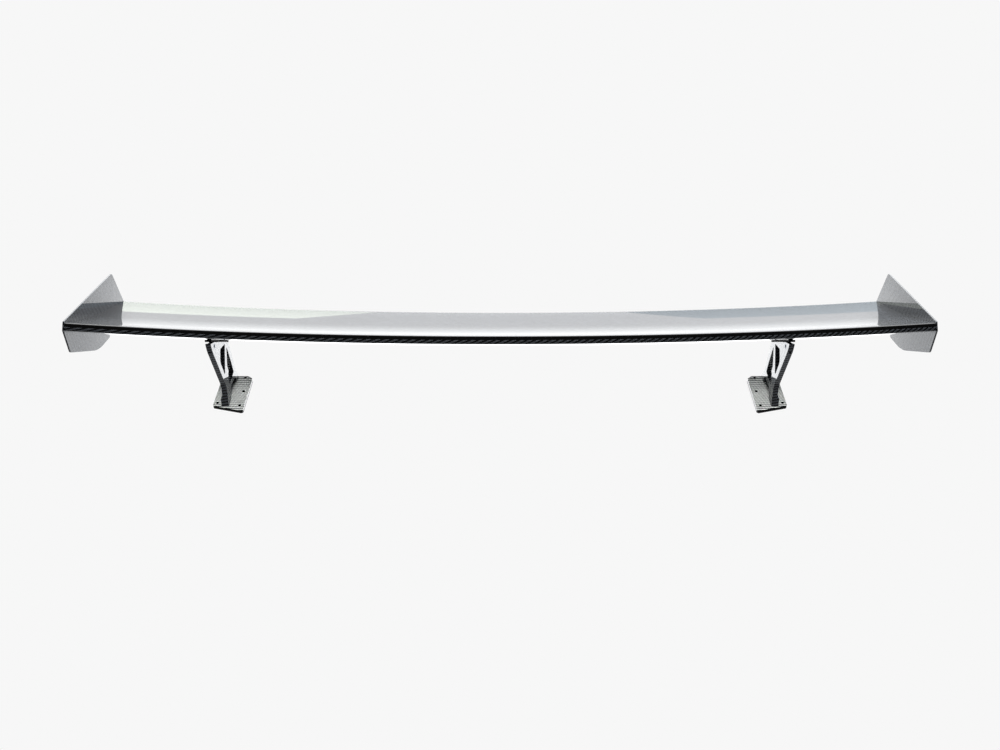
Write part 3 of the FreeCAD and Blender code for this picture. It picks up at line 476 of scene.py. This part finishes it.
# Plates and supports, one pair for each: the piece's name, its slot, the rounding in mm and the
# cloth's angle in degrees.
plateValues = {
    "end_plate": ("end_plate_laminate", "carbon_gloss", 0.6, 0),
    "saddle_bracket": ("saddle_bar", "anodised_black", 0.4, 0),
    "upright": ("upright_truss", "carbon_gloss", 0.5, 35),
    "base_plate": ("deck_plate", "carbon_gloss", 0.8, 45),
    "base_gasket": ("deck_gasket", "rubber_black", 0.4, 0),
    "saddle_rear_spacer": ("saddle_spacer_short", "anodised_black", 0.25, 0),
    "saddle_front_spacer": ("saddle_spacer_long", "anodised_black", 0.25, 0),
    "pivot_bolt": ("pivot_screw", "steel_black", 0.25, 0),
    "pivot_washer": ("pivot_ring", "steel_washer", 0.15, 0),
    "adjuster_screw": ("locking_screw", "steel_black", 0.25, 0),
    "adjuster_washer": ("locking_ring", "steel_washer", 0.15, 0),
    "end_plate_screws": ("tip_screws", "steel_black", 0.25, 0),
    "saddle_bolts": ("saddle_screws", "steel_black", 0.2, 0),
}
for node, (name, slot, rounding, turn) in plateValues.items():
    for side in ("left", "right"):
        refinedPiece(f"{node}_{side}", f"{name}_{side}", rounding, turn)
# the CAD nodes, shown or stood for, have the same finishes
for name, node in nodes.items():
    node.data.materials.clear()
    node.data.materials.append(finishOf(name))
    if not node.data.uv_layers.get("cloth"):
        layCloth(node.data, 0)
print("plates, supports and fasteners made")

# Studio: pale floor, a wide soft light ahead of the wing from the floor to high overhead, and
# darkness behind, as in a studio with black drapes. Lengths are in metres, and the height and the
# place of a direction run from -1 to 1.
studioValues = {
    "floor": "#f7f7f7", "floorHalf": 60, "floorDrop": 0.0005,
    "light": "#f8f9fa",
    "behind": 0.02, "floorBehind": 0.15, "floorTurn": (0.05, -0.15),
    # brightness ahead against the height of the direction, from straight down to straight up
    "ahead": [(-1, 1.5), (-0.45, 3.2), (-0.29, 3.0), (-0.19, 1.75), (-0.02, 1.1), (0.1, 1.4),
              (0.2, 2.0), (0.35, 4.5), (0.62, 6.4), (0.92, 6.4), (0.97, 0.2)],
    "aheadTurn": (-0.1, 0.2),
    "sides": 0.55, "sidesTurn": (0.33, 0.4),      # share of it that is left off to the sides
    # soft panels ahead on both sides: corners as distance from the middle and height
    "panelAhead": 5, "panelCorners": [(1.4, 0.39), (9, 0.39), (9, 1.6), (0.5, 1.6), (0.78, 0.88)],
    "leftTint": "#f1f6ee", "rightTint": "#e2ecf2", "leftPanel": 2.3, "rightPanel": 1.15,
    "lampWatts": 280, "lampSize": 1.2, "lampDistance": 4.0,
    "lampHeight": 44,     # degrees above level
}
cameraValues = {
    "sensor": 36, "lens": 35.46,      # mm
    "place": (0, -1.7915, 0.7647),
    "tilt": 68,                       # degrees from straight down
}


def glowMaterial(name, colour, strength):
    material, tree = newMaterial(name)
    closeMaterial(tree, addNode(tree, "ShaderNodeEmission", {"Color": linearColour(colour),
                                                             "Strength": strength}))
    return material


def stagePlane(name, corners, material):
    mesh = bpy.data.meshes.new(name)
    mesh.from_pydata(corners, [], [range(len(corners))])
    mesh.materials.append(material)
    plane = bpy.data.objects.new(name, mesh)
    scene.collection.objects.link(plane)
    return plane


far = studioValues["floorHalf"]
floorZ = cadBox[0][2] - studioValues["floorDrop"]
floorCorners = [(-far, -far, floorZ), (far, -far, floorZ), (far, far, floorZ), (-far, far, floorZ)]
floor = stagePlane("floor", floorCorners, glowMaterial("floor_lit_paper", studioValues["floor"], 1.0))
floor.visible_glossy = floor.visible_diffuse = floor.visible_shadow = False
for side, label in ((-1, "left"), (1, "right")):
    corners = [(side * out, studioValues["panelAhead"], up) for out, up in studioValues["panelCorners"]]
    glow = glowMaterial(f"soft_panel_{label}", studioValues[label + "Tint"], studioValues[label + "Panel"])
    panel = stagePlane(f"panel_{label}", corners, glow)
    panel.visible_camera = panel.visible_diffuse = panel.visible_shadow = False

world = bpy.data.worlds.new("studio")
scene.world = world
world.use_nodes = True
tree = world.node_tree
tree.nodes.clear()
direction = addNode(tree, "ShaderNodeTexCoord")
split = addNode(tree, "ShaderNodeSeparateXYZ", links={"Vector": direction.outputs["Generated"]})
ahead = addNode(tree, "ShaderNodeMapRange", {
    "interpolation_type": "SMOOTHSTEP",
    "From Min": studioValues["aheadTurn"][0], "From Max": studioValues["aheadTurn"][1],
}, {"Value": split.outputs[1]})
sideways = addNode(tree, "ShaderNodeMath", {"operation": "ABSOLUTE"}, {0: split.outputs[0]})
spread = addNode(tree, "ShaderNodeMapRange", {
    "interpolation_type": "SMOOTHSTEP",
    "From Min": studioValues["sidesTurn"][0], "From Max": studioValues["sidesTurn"][1],
    "To Min": 1.0, "To Max": studioValues["sides"],
}, {"Value": sideways.outputs[0]})
rampPlace = addNode(tree, "ShaderNodeMapRange", {"From Min": -1.0}, {"Value": split.outputs[2]})
byHeight = addNode(tree, "ShaderNodeValToRGB", {}, {0: rampPlace.outputs[0]})
brightest = max(glow for _, glow in studioValues["ahead"])
stops = byHeight.color_ramp.elements
for number, (height, glow) in enumerate(studioValues["ahead"]):
    stop = stops[number] if number < 2 else stops.new(1)
    stop.position = (height + 1) / 2
    stop.color = (*[glow / brightest] * 3, 1)
share = addNode(tree, "ShaderNodeMath", {"operation": "MULTIPLY"},
                {0: ahead.outputs[0], 1: spread.outputs[0]})
brightness = addNode(tree, "ShaderNodeMath", {"operation": "MULTIPLY", 1: brightest},
                     {0: byHeight.outputs[0]})
under = addNode(tree, "ShaderNodeMapRange", {
    "From Min": studioValues["floorTurn"][0], "From Max": studioValues["floorTurn"][1],
    "To Min": studioValues["behind"], "To Max": studioValues["floorBehind"],
}, {"Value": split.outputs[2]})
strength = addNode(tree, "ShaderNodeMath", {"operation": "MULTIPLY_ADD"},
                   {0: share.outputs[0], 1: brightness.outputs[0], 2: under.outputs[0]})
lit = addNode(tree, "ShaderNodeBackground", {"Color": linearColour(studioValues["light"])},
              {"Strength": strength.outputs[0]})
seen = addNode(tree, "ShaderNodeBackground", {"Color": linearColour(studioValues["floor"]), "Strength": 1.0})
ray = addNode(tree, "ShaderNodeLightPath")
mix = addNode(tree, "ShaderNodeMixShader", {},
              {0: ray.outputs["Is Camera Ray"], 1: lit.outputs[0], 2: seen.outputs[0]})
addNode(tree, "ShaderNodeOutputWorld", links={"Surface": mix.outputs[0]})

# a soft light high behind the camera; it lights only what is matt, so lacquer shows no patch of it
lamp = bpy.data.objects.new("highLight", bpy.data.lights.new("highLight", "AREA"))
lamp.data.shape = "DISK"
lamp.data.size = studioValues["lampSize"]
lamp.data.energy = studioValues["lampWatts"]
distance, height = studioValues["lampDistance"], math.radians(studioValues["lampHeight"])
lamp.location = (0, -distance * math.cos(height), distance * math.sin(height))
lamp.rotation_euler = (math.pi / 2 - height, 0, 0)
lamp.visible_camera = lamp.visible_glossy = False
scene.collection.objects.link(lamp)

camera = bpy.data.objects.new("camera", bpy.data.cameras.new("camera"))
camera.data.sensor_width = cameraValues["sensor"]
camera.data.lens = cameraValues["lens"]
camera.location = cameraValues["place"]
camera.rotation_euler = (math.radians(cameraValues["tilt"]), 0, 0)
scene.collection.objects.link(camera)
scene.camera = camera
scene.view_settings.view_transform = "Standard"
print("studio and camera made")
